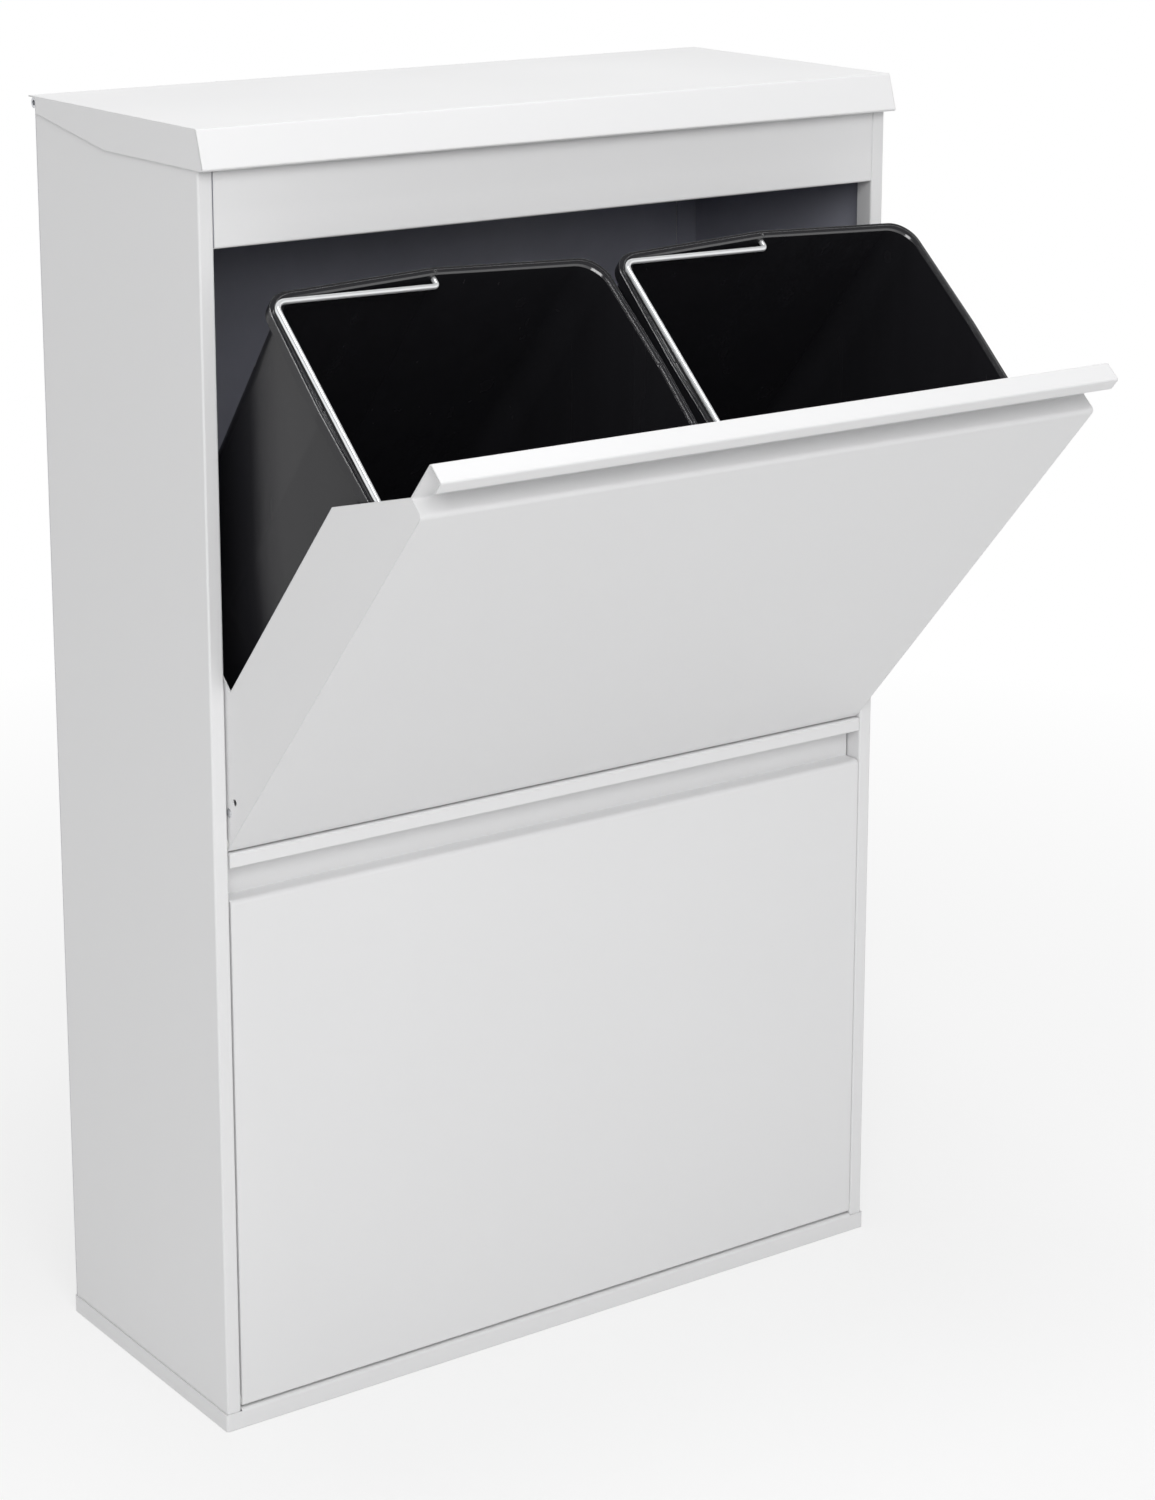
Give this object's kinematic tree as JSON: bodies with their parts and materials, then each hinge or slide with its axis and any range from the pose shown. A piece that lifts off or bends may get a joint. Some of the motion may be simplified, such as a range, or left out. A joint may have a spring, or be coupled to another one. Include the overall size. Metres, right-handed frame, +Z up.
{
  "type": "recycling bin cabinet",
  "caption": "Free-standing folded-steel recycling cabinet with tilt-out doors, lift-out bins on wire bails and a hinged lid over a shallow top compartment.",
  "frame": {"origin": "centre of the base pan's underside, on the floor", "axes": "+X to the right seen from the front, -Y out of the doors, +Z up"},
  "size_m": [0.5916, 0.5098, 0.9329],
  "materials": {
    "coated_steel": "satin white",
    "plated_steel": "zinc plated",
    "bin_plastic": "semi-gloss black",
    "bright_wire": "bright",
    "nylon": "natural",
    "rubber": "matt black"
  },
  "bodies": {
    "cabinet": {"base_pan": "coated_steel", "left_side_panel": "coated_steel", "right_side_panel": "coated_steel", "left_stile": "coated_steel", "right_stile": "coated_steel", "left_side_strips": "coated_steel", "right_side_strips": "coated_steel", "back_panel": "coated_steel", "top_fascia": "coated_steel", "top_tray": "coated_steel", "top_tray_lips": "coated_steel", "front_middle_brace": "coated_steel", "rear_middle_brace": "coated_steel", "base_rivets": "plated_steel", "back_panel_rivets": "plated_steel", "fascia_rivets": "plated_steel", "lid_hinge_fixed_leaf": "plated_steel", "lid_hinge_pin": "plated_steel", "lid_hinge_rivets": "plated_steel", "lid_buffers": "rubber", "upper_pivot_bushes": "nylon", "lower_pivot_bushes": "nylon", "upper_closing_pads": "rubber", "lower_closing_pads": "rubber"},
    "lid": {"lid_panel": "coated_steel", "lid_hinge_lid_leaf": "plated_steel"},
    "upper_door": {"upper_door_panel": "coated_steel", "upper_bin_tray": "coated_steel", "upper_tray_rivets": "plated_steel", "upper_pivot_studs": "plated_steel", "upper_stop_lugs": "plated_steel"},
    "lower_door": {"lower_door_panel": "coated_steel", "lower_bin_tray": "coated_steel", "lower_tray_rivets": "plated_steel", "lower_pivot_studs": "plated_steel", "lower_stop_lugs": "plated_steel"},
    "upper_left_bin": {"upper_left_bin": "bin_plastic"},
    "upper_right_bin": {"upper_right_bin": "bin_plastic"},
    "lower_left_bin": {"lower_left_bin": "bin_plastic"},
    "lower_right_bin": {"lower_right_bin": "bin_plastic"},
    "upper_left_bail": {"upper_left_bail": "bright_wire"},
    "upper_right_bail": {"upper_right_bail": "bright_wire"},
    "lower_left_bail": {"lower_left_bail": "bright_wire"},
    "lower_right_bail": {"lower_right_bail": "bright_wire"}
  },
  "joints": [
    {"name": "lid_hinge", "type": "hinge", "parent": "cabinet", "child": "lid", "pos_m": [0, 0.1204, 0.9275], "axis": [-1, 0, 0], "range_deg": [0, 100]},
    {"name": "upper_door_tilt", "type": "hinge", "parent": "cabinet", "child": "upper_door", "pos_m": [0, -0.111, 0.4388], "axis": [1, 0, 0], "range_deg": [-41.3, 0]},
    {"name": "lower_door_tilt", "type": "hinge", "parent": "cabinet", "child": "lower_door", "pos_m": [0, -0.111, 0.0208], "axis": [1, 0, 0], "range_deg": [0, 41.3]},
    {"name": "upper_left_bin_lift", "type": "slide", "parent": "upper_door", "child": "upper_left_bin", "axis": [0, -0.66, 0.7513], "range_m": [0, 0.32]},
    {"name": "upper_left_bail_swing", "type": "hinge", "parent": "upper_left_bin", "child": "upper_left_bail", "pos_m": [-0.14065, -0.23644, 0.76014], "axis": [0, 0.7513, 0.66], "range_deg": [0, 171.8]},
    {"name": "lower_left_bin_lift", "type": "slide", "parent": "lower_door", "child": "lower_left_bin", "axis": [0, 0, 1], "range_m": [0, 0.06]},
    {"name": "lower_left_bail_swing", "type": "hinge", "parent": "lower_left_bin", "child": "lower_left_bail", "pos_m": [-0.14065, 0.00685, 0.345], "axis": [0, 1, 0], "range_deg": [0, 25]},
    {"name": "upper_right_bin_lift", "type": "slide", "parent": "upper_door", "child": "upper_right_bin", "axis": [0, -0.66, 0.7513], "range_m": [0, 0.32]},
    {"name": "upper_right_bail_swing", "type": "hinge", "parent": "upper_right_bin", "child": "upper_right_bail", "pos_m": [0.14065, -0.23644, 0.76014], "axis": [0, 0.7513, 0.66], "range_deg": [0, 171.8]},
    {"name": "lower_right_bin_lift", "type": "slide", "parent": "lower_door", "child": "lower_right_bin", "axis": [0, 0, 1], "range_m": [0, 0.06]},
    {"name": "lower_right_bail_swing", "type": "hinge", "parent": "lower_right_bin", "child": "lower_right_bail", "pos_m": [0.14065, 0.00685, 0.345], "axis": [0, 1, 0], "range_deg": [0, 25]}
  ]
}
